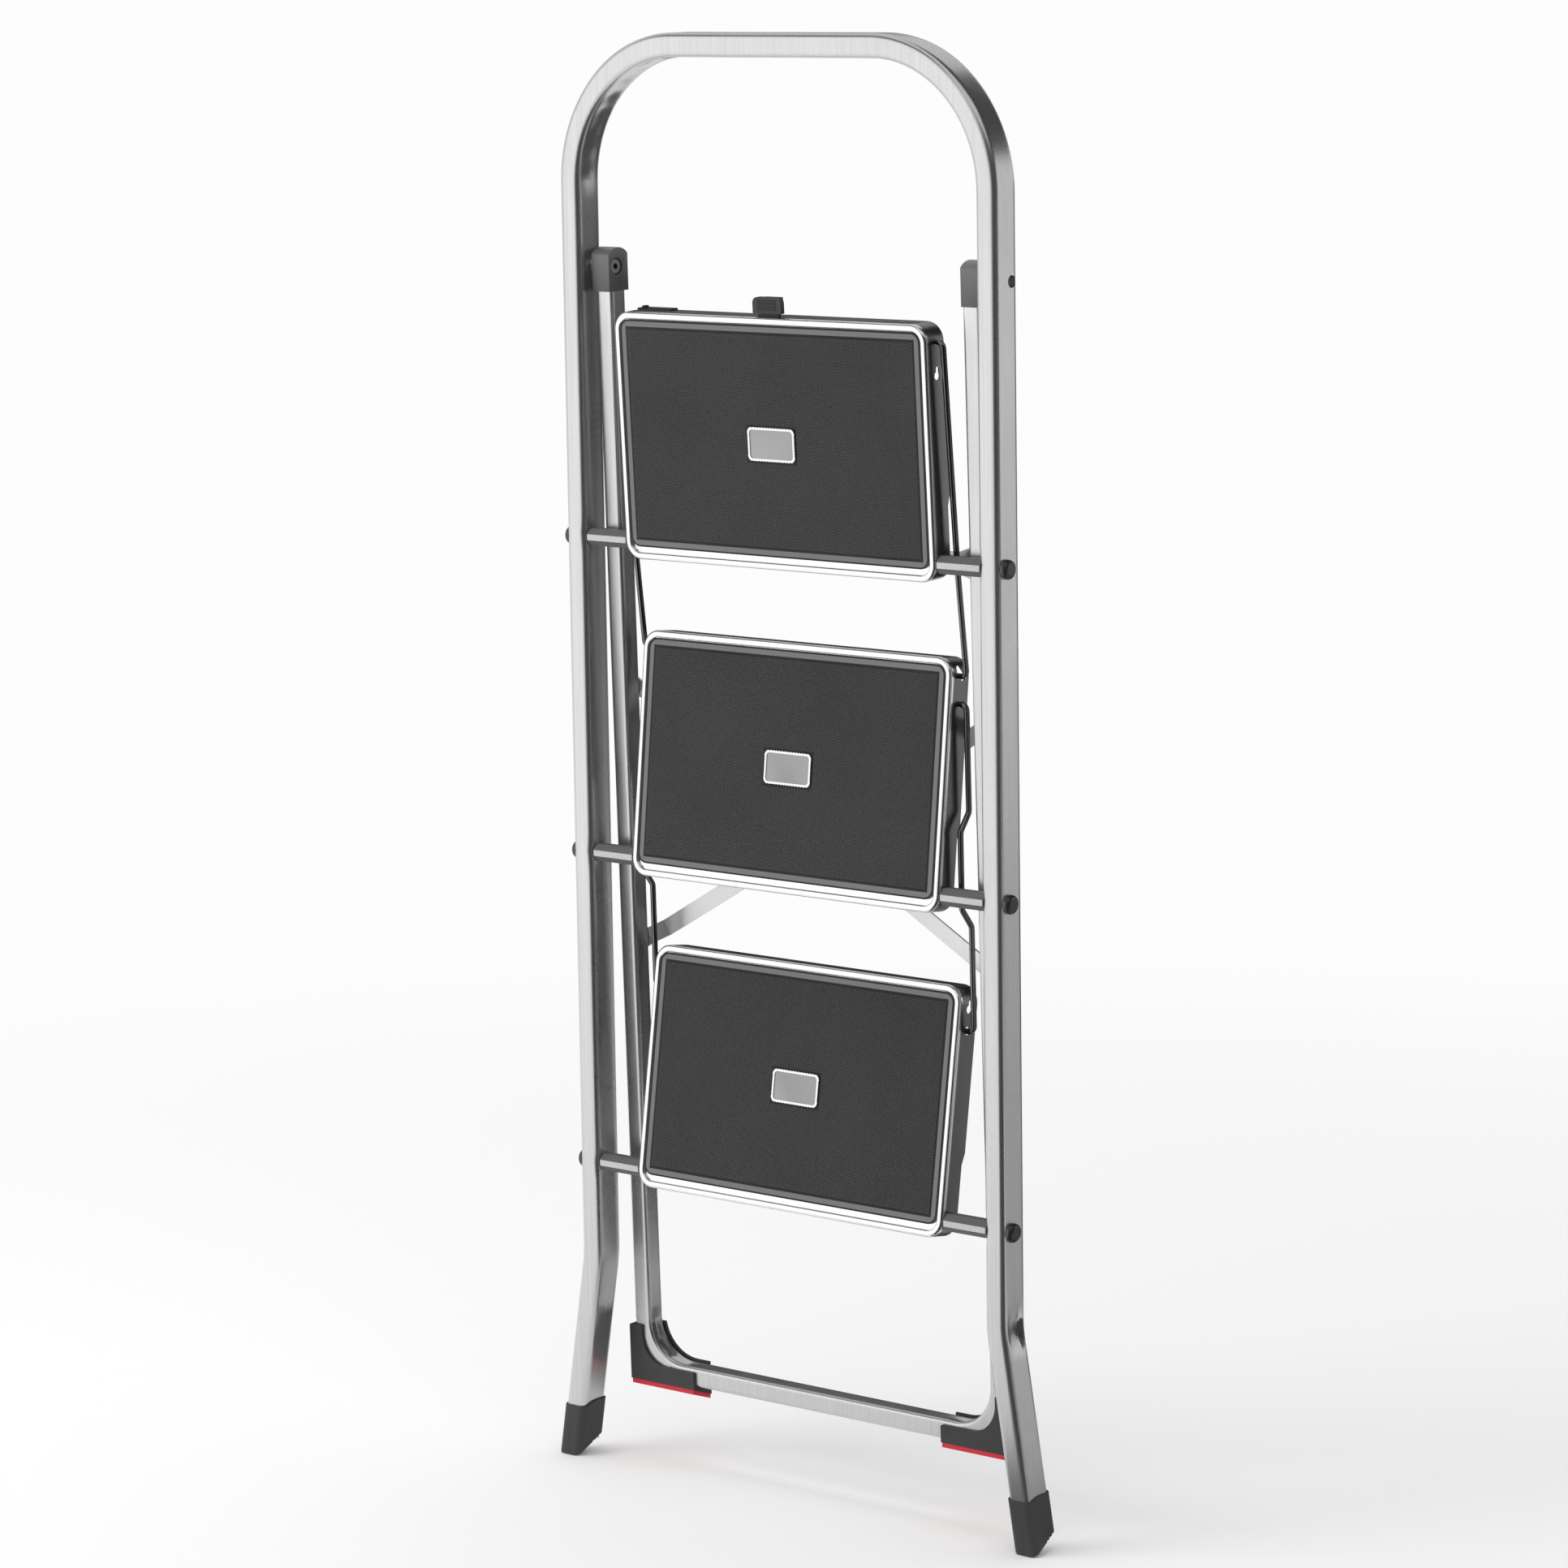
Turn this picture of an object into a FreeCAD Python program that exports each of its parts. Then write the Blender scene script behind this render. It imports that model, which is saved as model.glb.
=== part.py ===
import FreeCAD, Part
import math
import os
from FreeCAD import Placement, Rotation, Vector

# Folding three-step stool, drawn folded. Millimetres: X runs across the stool,
# the treads face -Y, +Z is up, and the front feet stand on Z = 0.

# Front frame: one inverted U of rounded rectangular tube, kept as its top, bends and legs.
FRONT_Y = -24.1             # front face of the front tube
HALF_WIDTH = 209.0          # outer face of the straight legs
FRONT_TUBE = (18.3, 27.0, 4.2, 1.2)   # across, fore-and-aft, edge radius, wall
FRAME_TOP = 1126.0
TOP_BEND = 114.0            # outer radius of the two top bends
KINK_Z = 166.0              # the legs splay outward below this level
KINK_RADIUS = 120.0
SPLAY = 9.3                 # degrees
FRONT_FOOT = (21.2, 29.8, 5.4)        # across, fore-and-aft, edge radius
FRONT_FOOT_TOP = 41.0       # along the front; the sides arch up behind it
FOOT_ARCH = 2.8
SOLE_SLOPE = 27.5           # the front soles lie flat once the stool is open
SOLE_THICKNESS = 5.0

# Step axles, with their spacers and caps.
AXLE_Y = FRONT_Y + 9.7
AXLES = {"top": 739.0, "middle": 491.0, "bottom": 243.0}
AXLE_RADIUS = 4.0
SPACER_FLATS = 13.6
CAP_RADIUS = 7.4

# Steps: pans that turn on the axles; lean is positive towards the back.
STEP_LEAN = {"top": -3.0, "middle": 6.3, "bottom": 8.7}
STEP_HALF = 150.0
STEP_BELOW = 13.5           # front edge below the axle
STEP_ABOVE = 177.5          # rear edge above the axle
STEP_CORNER = 14.0
SHEET = 1.2
RIM_Y = -8.0                # face of the rolled rim, in front of the axle
PLATE_Y = -5.6
FLANGE_Y = 14.0
NARROW_FLANGE_Y = 11.0      # the side flanges are shallower beside the axle
RIM_WIDTH = 5.5
MAT_BACK_GAP = 0.4
MAT_FRONT_GAP = 4.5
MAT_THICKNESS = 1.8
BADGE = (44.0, 24.5, 0.6, 4.0)        # across, high, thick, corner radius

# Link wires, from the upper hole of one pan to a slot in the pan below.
WIRE_RADIUS = 2.25
WIRE_X = 156.5
WIRE_BEND = 5.0
HOLE_HIGH = 164.0
HOLE_LOW = 143.0
HOLE_Y = 4.5
WIRE_TOP = (250.75, 5.65, 0.01)       # length, rest and open angle to the frame
WIRE_LOW = (248.56, 1.29, 0.03)
WIRE_PLAY = 0.4

# How far each body swings when the stool opens.
OPEN_TOP = 65.5
OPEN_MIDDLE = 56.2
OPEN_BOTTOM = 53.8

# Rear frame: a U of lighter tube hung from the pivots, drawn upright and then tilted.
PIVOT_Y = FRONT_Y + 19.9
PIVOT_Z = 947.7
REAR_TILT = 1.49
REAR_HALF = 184.5
REAR_TUBE = (15.5, 17.0, 2.6, 1.0)
REAR_TUBE_Y = PIVOT_Y + 0.6
REAR_BAR_Z = PIVOT_Z - 884.0          # underside of the bottom bar
REAR_BEND = 41.0
REAR_LEG_TOP = PIVOT_Z - 19.0
REAR_BACK_Y = REAR_TUBE_Y + REAR_TUBE[1] / 2
REAR_LEG_X = REAR_HALF - REAR_TUBE[0] / 2
RIVET_RADIUS = 4.0

# Rear crossbar and X brace, both riveted to the back of the rear legs.
BAR_Z = PIVOT_Z - 210.7
BAR_RADIUS = 8.0
BAR_FLAT = (26.5, 3.2)
STRAP = (13.0, 2.0)
STRAP_LOW = PIVOT_Z - 531.7
STRAP_HIGH = PIVOT_Z - 325.7
STRAP_OFFSET = 9.0

X_AXIS = Vector(1, 0, 0)
Y_AXIS = Vector(0, 1, 0)
Z_AXIS = Vector(0, 0, 1)
SIDES = {"left": -1, "right": 1}


def box(x0, x1, y0, y1, z0, z1):
    return Part.makeBox(x1 - x0, y1 - y0, z1 - z0, Vector(x0, y0, z0))


def rod(radius, start, end):
    return Part.makeCylinder(radius, (end - start).Length, start, end - start)


def cross_rod(radius, x0, x1, y, z):
    return rod(radius, Vector(x0, y, z), Vector(x1, y, z))


def mirrored(shape):
    return shape.mirror(Vector(0, 0, 0), X_AXIS)


def rounded_path(points, radii):
    """A wire through the points with each inner corner rounded."""
    edges = []
    start = points[0]
    for before, corner, after, radius in zip(points, points[1:], points[2:], radii):
        back = (before - corner).normalize()
        on = (after - corner).normalize()
        half = back.getAngle(on) / 2
        reach = radius / math.tan(half)
        enter = corner + back * reach
        leave = corner + on * reach
        middle = corner + (back + on).normalize() * (radius / math.sin(half) - radius)
        if (enter - start).Length > 1e-6:
            edges.append(Part.LineSegment(start, enter).toShape())
        edges.append(Part.Arc(enter, middle, leave).toShape())
        start = leave
    if (points[-1] - start).Length > 1e-6:
        edges.append(Part.LineSegment(start, points[-1]).toShape())
    return Part.Wire(edges)


def outline(width, height, radius):
    """A closed rounded rectangle in the XY plane, centred on the origin."""
    w, h = width / 2, height / 2
    ring = [Vector(0, -h, 0), Vector(w, -h, 0), Vector(w, h, 0), Vector(-w, h, 0),
            Vector(-w, -h, 0), Vector(0, -h, 0)]
    return rounded_path(ring, [radius] * 4)


def upright_plate(width, z0, z1, radius, y0, y1):
    """A rounded rectangle in the XZ plane, extruded from y0 to y1."""
    face = Part.Face(outline(width, z1 - z0, radius))
    face.Placement = Placement(Vector(0, y1, (z0 + z1) / 2), Rotation(X_AXIS, 90))
    return face.extrude(Vector(0, y0 - y1, 0))


def swept_bar(path, width, depth, radius):
    """A rounded rectangular bar swept along a path that lies in an XZ plane."""
    along = path.Edges[0].tangentAt(path.Edges[0].FirstParameter)
    across = Y_AXIS.cross(along)
    profile = outline(width, depth, radius)
    profile.Placement = Placement(path.Edges[0].valueAt(path.Edges[0].FirstParameter),
                                  Rotation(across, Y_AXIS, along, "ZYX"))
    return Part.Wire(path.Edges).makePipeShell([profile], True, False)


def tube_and_envelope(path, section):
    width, depth, radius, wall = section
    envelope = swept_bar(path, width, depth, radius)
    bore = swept_bar(path, width - 2 * wall, depth - 2 * wall, radius - wall)
    return envelope.cut(bore), envelope


def lean(shape, degrees, y, z):
    """Tilt backwards about the line X at (y, z)."""
    turned = shape.copy()
    turned.rotate(Vector(0, y, z), X_AXIS, -degrees)
    return turned


def above_slope(height, y_front, slope):
    """Everything above a plane that rises towards the back."""
    block = box(-400, 400, -400, 900, 0, 1600)
    block.rotate(Vector(0, 0, 0), X_AXIS, slope)
    block.translate(Vector(0, y_front, height))
    return block


parts = {}

# ---------------------------------------------------------------- front frame
leg_x = HALF_WIDTH - FRONT_TUBE[0] / 2
tube_y = FRONT_Y + FRONT_TUBE[1] / 2
top_z = FRAME_TOP - FRONT_TUBE[0] / 2
spread = (KINK_Z + 20) * math.tan(math.radians(SPLAY))
frame_points = [Vector(-leg_x - spread, tube_y, -20), Vector(-leg_x, tube_y, KINK_Z),
                Vector(-leg_x, tube_y, top_z), Vector(leg_x, tube_y, top_z),
                Vector(leg_x, tube_y, KINK_Z), Vector(leg_x + spread, tube_y, -20)]
top_radius = TOP_BEND - FRONT_TUBE[0] / 2
frame_path = rounded_path(frame_points, [KINK_RADIUS, top_radius, top_radius, KINK_RADIUS])
frame, frame_envelope = tube_and_envelope(frame_path, FRONT_TUBE)
foot_front = FRONT_Y - (FRONT_FOOT[1] - FRONT_TUBE[1]) / 2
over_sole = above_slope(0, foot_front, SOLE_SLOPE)
over_tube_end = above_slope(SOLE_THICKNESS, foot_front, SOLE_SLOPE)
frame = frame.common(over_tube_end)
for level in AXLES.values():
    frame = frame.cut(cross_rod(AXLE_RADIUS, -230, 230, AXLE_Y, level))
for side in SIDES.values():
    frame = frame.cut(cross_rod(RIVET_RADIUS + 0.05, side * 188, side * 196, PIVOT_Y, PIVOT_Z))
    frame = frame.cut(cross_rod(4.6, side * 200, side * 215, PIVOT_Y, PIVOT_Z))
bend_x = HALF_WIDTH - TOP_BEND
bend_z = FRAME_TOP - TOP_BEND
frame_bend = frame.common(box(bend_x, 300, -60, 60, bend_z, 1200))
frame_leg = frame.common(box(0, 300, -60, 60, -10, bend_z))
parts["frame_top"] = frame.common(box(-bend_x, bend_x, -60, 60, bend_z, 1200))
parts["frame_bend_right"] = frame_bend
parts["frame_bend_left"] = mirrored(frame_bend)
parts["frame_leg_right"] = frame_leg
parts["frame_leg_left"] = mirrored(frame_leg)

# ----------------------------------------------------------------- front feet
leg_low = Vector(-leg_x - spread, tube_y, -20)
leg_bend = Vector(-leg_x, tube_y, KINK_Z)
foot_path = Part.Wire([Part.LineSegment(leg_low, leg_bend).toShape()])
foot = swept_bar(foot_path, *FRONT_FOOT)
arch_start = Vector(-400, foot_front + 4.5, FRONT_FOOT_TOP)
arch_mid = Vector(-400, foot_front + 11.0, FRONT_FOOT_TOP + 0.76 * FOOT_ARCH)
arch_end = Vector(-400, foot_front + 21.0, FRONT_FOOT_TOP + FOOT_ARCH)
corners = [arch_end, Vector(-400, 60, FRONT_FOOT_TOP + FOOT_ARCH), Vector(-400, 60, -30),
           Vector(-400, -60, -30), Vector(-400, -60, FRONT_FOOT_TOP), arch_start]
side_edges = [Part.Arc(arch_start, arch_mid, arch_end).toShape()]
for start, end in zip(corners, corners[1:]):
    side_edges.append(Part.LineSegment(start, end).toShape())
under_arch = Part.Face(Part.Wire(side_edges)).extrude(Vector(400, 0, 0))
foot = foot.common(under_arch).common(over_sole)
foot = foot.cut(frame_envelope.common(over_tube_end))
for back in (17.0, 20.5, 24.0):
    rise = back * math.tan(math.radians(SOLE_SLOPE))
    foot = foot.cut(cross_rod(0.8, -400, 0, foot_front + back, rise - 0.1))
parts["front_foot_left"] = foot
parts["front_foot_right"] = mirrored(foot)

# ------------------------------------------------ step axles, spacers and caps
spacer_in = STEP_HALF + 0.35
spacer_out = HALF_WIDTH - FRONT_TUBE[0]
octagon_radius = SPACER_FLATS / 2 / math.cos(math.pi / 8)
caps = []
for name, level in AXLES.items():
    parts["axle_" + name] = cross_rod(AXLE_RADIUS, -HALF_WIDTH - 2, HALF_WIDTH + 2, AXLE_Y, level)
    for side_name, side in SIDES.items():
        corners = []
        for index in range(9):
            angle = math.pi / 8 + index * math.pi / 4
            corners.append(Vector(side * spacer_in, AXLE_Y + octagon_radius * math.cos(angle),
                                  level + octagon_radius * math.sin(angle)))
        spacer = Part.Face(Part.makePolygon(corners)).extrude(
            Vector(side * (spacer_out - spacer_in), 0, 0))
        spacer = spacer.cut(cross_rod(AXLE_RADIUS, side * 140, side * 200, AXLE_Y, level))
        parts["spacer_" + name + "_" + side_name] = spacer
        cap = cross_rod(CAP_RADIUS, side * HALF_WIDTH, side * (HALF_WIDTH + 5.2), AXLE_Y, level)
        rim = [e for e in cap.Edges if abs(abs(e.CenterOfMass.x) - HALF_WIDTH - 5.2) < 0.01]
        cap = cap.makeFillet(3.2, rim)
        caps.append(cap.cut(cross_rod(AXLE_RADIUS, side * 200, side * (HALF_WIDTH + 2), AXLE_Y, level)))
parts["axle_caps"] = Part.makeCompound(caps)

# ----------------------------------------------------------------- rear frame
bar_z = REAR_BAR_Z + REAR_TUBE[0] / 2
rear_points = [Vector(-REAR_LEG_X, REAR_TUBE_Y, REAR_LEG_TOP), Vector(-REAR_LEG_X, REAR_TUBE_Y, bar_z),
               Vector(REAR_LEG_X, REAR_TUBE_Y, bar_z), Vector(REAR_LEG_X, REAR_TUBE_Y, REAR_LEG_TOP)]
rear_path = rounded_path(rear_points, [REAR_BEND, REAR_BEND])
rear, rear_envelope = tube_and_envelope(rear_path, REAR_TUBE)
rivet_spots = []
for x in (-REAR_LEG_X, REAR_LEG_X):
    for z in (BAR_Z, STRAP_LOW, STRAP_HIGH):
        rivet_spots.append((x, z))
for x, z in rivet_spots:
    rear = rear.cut(rod(2.5, Vector(x, REAR_BACK_Y - 4, z), Vector(x, REAR_BACK_Y + 4, z)))
rear_bend_x = REAR_LEG_X - REAR_BEND
rear_bend_z = bar_z + REAR_BEND
rear_bend = rear.common(box(rear_bend_x, 300, -60, 60, 0, rear_bend_z))
rear_leg = rear.common(box(0, 300, -60, 60, rear_bend_z, 1200))
upright = {
    "rear_bar": rear.common(box(-rear_bend_x, rear_bend_x, -60, 60, 0, rear_bend_z)),
    "rear_bend_right": rear_bend,
    "rear_bend_left": mirrored(rear_bend),
    "rear_leg_right": rear_leg,
    "rear_leg_left": mirrored(rear_leg),
}

# ------------------------------------------- pivot brackets, washers and rivets
block = box(169.4, 186.4, PIVOT_Y - 9.4, PIVOT_Y + 13.0, PIVOT_Z - 19.0, PIVOT_Z + 9.0)
arch = cross_rod(15.0, 169.4, 186.4, PIVOT_Y + 1.8, PIVOT_Z - 0.5)
arch = arch.common(box(169.4, 186.4, PIVOT_Y - 9.4, PIVOT_Y + 13.0, PIVOT_Z, PIVOT_Z + 30))
block = block.fuse(arch).removeSplitter()
spigot_foot = Vector(REAR_LEG_X, REAR_TUBE_Y, REAR_LEG_TOP - 22)
spigot = Part.Face(outline(13.2, 14.7, 1.9)).extrude(Vector(0, 0, 22))
spigot.translate(spigot_foot)
bracket = block.fuse(spigot)
bracket = bracket.cut(cross_rod(6.4, 160, 172.6, PIVOT_Y, PIVOT_Z))
bracket = bracket.cut(cross_rod(RIVET_RADIUS, 160, 200, PIVOT_Y, PIVOT_Z))
upright["bracket_right"] = bracket
upright["bracket_left"] = mirrored(bracket)
washer = cross_rod(7.5, 186.4, 190.35, PIVOT_Y, PIVOT_Z)
washer = washer.cut(cross_rod(RIVET_RADIUS, 180, 200, PIVOT_Y, PIVOT_Z))
rivet = cross_rod(RIVET_RADIUS, 171.2, 192.3, PIVOT_Y, PIVOT_Z)
rivet = rivet.fuse(cross_rod(5.4, 170.6, 172.6, PIVOT_Y, PIVOT_Z))
rivet = rivet.fuse(cross_rod(4.35, 192.3, 194.3, PIVOT_Y, PIVOT_Z))
rivet = rivet.cut(cross_rod(2.4, 160, 200, PIVOT_Y, PIVOT_Z)).removeSplitter()
upright["pivot_washers"] = Part.makeCompound([washer, mirrored(washer)])
upright["pivot_rivets"] = Part.makeCompound([rivet, mirrored(rivet)])

# ------------------------------------------------------ rear feet and their soles
foot_low = PIVOT_Z - 886.0   # front edge of the underside, which slopes down to the back
REAR_SLOPE = -21.0           # the rear soles lie flat once the stool is open
SOLE_DROP = 3.6
foot_y0 = REAR_TUBE_Y - REAR_TUBE[1] / 2 - 2.3
foot_y1 = REAR_TUBE_Y + REAR_TUBE[1] / 2 + 2.3
arm_top = foot_low + 14.0
shoe_base = foot_low - 14.0
shoe_top = foot_low + 45.0
shoe = [Vector(188, foot_y0, shoe_base), Vector(188, foot_y0, shoe_top), Vector(175.5, foot_y0, shoe_top),
        Vector(175.5, foot_y0, arm_top), Vector(123, foot_y0, arm_top), Vector(123, foot_y0, shoe_base),
        Vector(150, foot_y0, shoe_base)]
shoe_outline = rounded_path([Vector(150, foot_y0, shoe_base)] + shoe, [3.0, 1.5, 1.5, 24.0, 1.5, 1.5])
rear_foot = Part.Face(shoe_outline).extrude(Vector(0, foot_y1 - foot_y0, 0))
flange_y = REAR_BACK_Y
flange_rise = 1.2            # the back wall stands proud of the tube's inner side
flange_x = REAR_LEG_X - REAR_TUBE[0] / 2 - flange_rise
flange_z = REAR_BAR_Z + REAR_TUBE[0] + flange_rise
hollow = rounded_path([Vector(60, flange_y, flange_z), Vector(flange_x, flange_y, flange_z),
                       Vector(flange_x, flange_y, 300), Vector(60, flange_y, 300), Vector(60, flange_y, flange_z)],
                      [REAR_BEND - REAR_TUBE[0] / 2 - flange_rise, 1.0, 1.0])
back_wall = box(123, 188, flange_y, foot_y1, shoe_base, shoe_top)
back_wall = back_wall.cut(Part.Face(hollow).extrude(Vector(0, 10, 0)))
rear_foot = rear_foot.fuse(back_wall).cut(rear_envelope)
over_foot = above_slope(0, 0, REAR_SLOPE)
over_foot.translate(Vector(0, foot_y0, foot_low))
over_ground = over_foot.copy()
over_ground.translate(Vector(0, 0, -SOLE_DROP))
rear_foot = rear_foot.common(over_foot).removeSplitter()
sole = box(124, 187, foot_y0 + 0.3, foot_y1 - 0.3, foot_low - 20, foot_low)
sole = sole.cut(over_foot).common(over_ground)
for back in (5.0, 10.0, 15.0):
    drop = SOLE_DROP - back * math.tan(math.radians(REAR_SLOPE))
    sole = sole.cut(cross_rod(0.9, 100, 200, foot_y0 + back, foot_low - drop + 0.1))
upright["rear_foot_right"] = rear_foot
upright["rear_foot_left"] = mirrored(rear_foot)
upright["rear_sole_right"] = sole
upright["rear_sole_left"] = mirrored(sole)

# ------------------------------------------------ rear crossbar and its two rivets
bar_y = REAR_BACK_Y + BAR_FLAT[1] / 2
round_end = 146.0
flat_start = 161.0
bar = cross_rod(BAR_RADIUS, -round_end, round_end, bar_y, BAR_Z)
bar = bar.cut(cross_rod(BAR_RADIUS - 1.4, -round_end, round_end, bar_y, BAR_Z))
circle = Part.Wire(Part.makeCircle(BAR_RADIUS, Vector(round_end, bar_y, BAR_Z), X_AXIS))
ellipse = Part.Ellipse(Vector(0, 0, 0), BAR_FLAT[0] / 2, BAR_FLAT[1] / 2).toShape()
ellipse.Placement = Placement(Vector(flat_start, bar_y, BAR_Z), Rotation(Z_AXIS, Y_AXIS, X_AXIS, "ZXY"))
taper = Part.makeLoft([circle, Part.Wire(ellipse)], True)
tab = box(flat_start, 183.5, REAR_BACK_Y, REAR_BACK_Y + BAR_FLAT[1],
          BAR_Z - BAR_FLAT[0] / 2, BAR_Z + BAR_FLAT[0] / 2)
outer_edges = [e for e in tab.Edges if abs(e.CenterOfMass.x - 183.5) < 0.01
               and abs(e.CenterOfMass.z - BAR_Z) > 10]
tab = tab.makeFillet(6.0, [e for e in outer_edges if e.Length < 4])
end = taper.fuse(tab).cut(rod(2.5, Vector(REAR_LEG_X, bar_y - 9, BAR_Z), Vector(REAR_LEG_X, bar_y + 9, BAR_Z)))
upright["rear_crossbar"] = bar.fuse([end, mirrored(end)]).removeSplitter()


def back_rivet(x, z, plate):
    """A domed rivet through a plate on the back of a rear leg."""
    face = REAR_BACK_Y + plate
    head = rod(5.0, Vector(x, face, z), Vector(x, face + 2.4, z))
    dome = [e for e in head.Edges if abs(e.CenterOfMass.y - face - 2.4) < 0.01]
    head = head.makeFillet(1.8, dome)
    return head.fuse(rod(2.5, Vector(x, REAR_BACK_Y - 3, z), Vector(x, face, z)))


upright["crossbar_rivets"] = Part.makeCompound(
    [back_rivet(x, BAR_Z, BAR_FLAT[1]) for x in (-REAR_LEG_X, REAR_LEG_X)])

# ------------------------------------------------------------- X brace of two straps
strap_run = math.hypot(2 * REAR_LEG_X, STRAP_HIGH - STRAP_LOW)
strap_angle = math.degrees(math.atan2(STRAP_HIGH - STRAP_LOW, 2 * REAR_LEG_X))
strap_mid_z = (STRAP_LOW + STRAP_HIGH) / 2


def strap(offset):
    """A joggled flat strap along X, its ends on the legs and its middle set back."""
    width, thick = STRAP
    end_x = strap_run / 2 + 6.5
    near = strap_run / 2 - 10
    far = near - 12
    back = REAR_BACK_Y
    line = [(-end_x, 0), (-near, 0), (-far, offset), (far, offset), (near, 0), (end_x, 0)]
    loop = [Vector(x, back + y, 0) for x, y in line]
    loop += [Vector(x, back + y + thick, 0) for x, y in reversed(line)]
    bent = Part.Face(Part.makePolygon(loop + [loop[0]])).extrude(Vector(0, 0, width))
    bent.translate(Vector(0, 0, -width / 2))
    plan = upright_plate(2 * end_x, -width / 2, width / 2, width / 2 - 0.01, back - 5, back + 40)
    bent = bent.common(plan)
    for x in (-strap_run / 2, 0, strap_run / 2):
        bent = bent.cut(rod(2.5, Vector(x, back - 5, 0), Vector(x, back + 40, 0)))
    return bent


first = strap(STRAP_OFFSET)
first.rotate(Vector(0, 0, 0), Y_AXIS, -strap_angle)
first.translate(Vector(0, 0, strap_mid_z))
second = strap(STRAP_OFFSET + STRAP[1])
second.rotate(Vector(0, 0, 0), Y_AXIS, strap_angle)
second.translate(Vector(0, 0, strap_mid_z))
upright["brace_front"] = first
upright["brace_back"] = second
centre_y = REAR_BACK_Y + STRAP_OFFSET
centre = rod(2.5, Vector(0, centre_y, strap_mid_z), Vector(0, centre_y + 2 * STRAP[1], strap_mid_z))
centre = centre.fuse(rod(4.5, Vector(0, centre_y - 1.5, strap_mid_z), Vector(0, centre_y, strap_mid_z)))
centre = centre.fuse(rod(4.5, Vector(0, centre_y + 2 * STRAP[1], strap_mid_z),
                         Vector(0, centre_y + 2 * STRAP[1] + 1.8, strap_mid_z)))
brace_rivets = [centre]
for x in (-REAR_LEG_X, REAR_LEG_X):
    for z in (STRAP_LOW, STRAP_HIGH):
        brace_rivets.append(back_rivet(x, z, STRAP[1]))
upright["brace_rivets"] = Part.makeCompound(brace_rivets)

for name, shape in upright.items():
    parts[name] = lean(shape, -REAR_TILT, PIVOT_Y, PIVOT_Z)

# ------------------------------------------------------------------ step pans
# Each pan is drawn upright with its axle on the origin, then leaned and raised.
pan_width = 2 * STEP_HALF


def step_pan():
    pan = upright_plate(pan_width, -STEP_BELOW, STEP_ABOVE, STEP_CORNER, RIM_Y, FLANGE_Y)
    rim = [e for e in pan.Edges if abs(e.CenterOfMass.y - RIM_Y) < 0.01]
    pan = pan.makeFillet(2.2, rim)
    cavity = upright_plate(pan_width - 2 * SHEET, -STEP_BELOW + SHEET, STEP_ABOVE - SHEET,
                           STEP_CORNER - SHEET, PLATE_Y + 1.0, FLANGE_Y + 1)
    recess = upright_plate(pan_width - 2 * RIM_WIDTH, -STEP_BELOW + RIM_WIDTH, STEP_ABOVE - RIM_WIDTH,
                           STEP_CORNER - RIM_WIDTH, RIM_Y - 1, PLATE_Y)
    pan = pan.cut(cavity).cut(recess)
    lip = [e for e in pan.Edges if abs(e.CenterOfMass.y - RIM_Y) < 0.01
           and abs(e.CenterOfMass.x) < STEP_HALF - RIM_WIDTH + 0.01
           and -STEP_BELOW + RIM_WIDTH - 0.01 < e.CenterOfMass.z < STEP_ABOVE - RIM_WIDTH + 0.01]
    pan = pan.makeFillet(1.6, lip)
    notch = Part.Face(Part.makePolygon([
        Vector(-200, NARROW_FLANGE_Y, -30), Vector(-200, NARROW_FLANGE_Y, 42),
        Vector(-200, FLANGE_Y + 1, 54), Vector(-200, FLANGE_Y + 1, -30),
        Vector(-200, NARROW_FLANGE_Y, -30)])).extrude(Vector(400, 0, 0))
    pan = pan.cut(notch)
    return pan.cut(cross_rod(AXLE_RADIUS + 0.05, -200, 200, 0, 0))


def keyhole(z):
    """A round hole with a narrow slot above it, through both side flanges."""
    hole = cross_rod(3.2, -200, 200, HOLE_Y, z - 4.2)
    slot = cross_rod(1.9, -200, 200, HOLE_Y + 0.8, z + 0.8)
    neck = box(-200, 200, HOLE_Y - 1.1, HOLE_Y + 2.7, z - 4.2, z + 0.8)
    return hole.fuse([slot, neck])


def direction(degrees):
    """Unit vectors along a pan and towards its back, at this lean."""
    angle = math.radians(degrees)
    along = Vector(0, math.sin(angle), math.cos(angle))
    behind = Vector(0, math.cos(angle), -math.sin(angle))
    return along, behind


def wire_ends(share, upper, lower, opening_upper, hole_z, wire):
    """Hook centres of a link wire when the stool is open by this share."""
    length, rest_angle, open_angle = wire
    along, behind = direction(STEP_LEAN[upper] + opening_upper * share)
    top = Vector(0, AXLE_Y, AXLES[upper]) + along * hole_z + behind * HOLE_Y
    angle = math.radians(rest_angle + (open_angle - rest_angle) * share)
    return top, top + Vector(0, math.sin(angle), -math.cos(angle)) * length


def wire_slot(upper, lower, opening_upper, opening_lower, hole_z, wire):
    """The room a lower hook needs in the pan below while the stool opens."""
    spots = []
    for index in range(13):
        share = index / 12
        bottom = wire_ends(share, upper, lower, opening_upper, hole_z, wire)[1]
        along, behind = direction(STEP_LEAN[lower] + opening_lower * share)
        offset = bottom - Vector(0, AXLE_Y, AXLES[lower])
        spots.append((offset.dot(behind), offset.dot(along)))
    radius = WIRE_RADIUS + WIRE_PLAY
    room = cross_rod(radius, -200, 200, *spots[0])
    return room.fuse([cross_rod(radius, -200, 200, y, z) for y, z in spots[1:]])


def raise_step(shape, name):
    placed = lean(shape, STEP_LEAN[name], 0, 0)
    placed.translate(Vector(0, AXLE_Y, AXLES[name]))
    return placed


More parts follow.
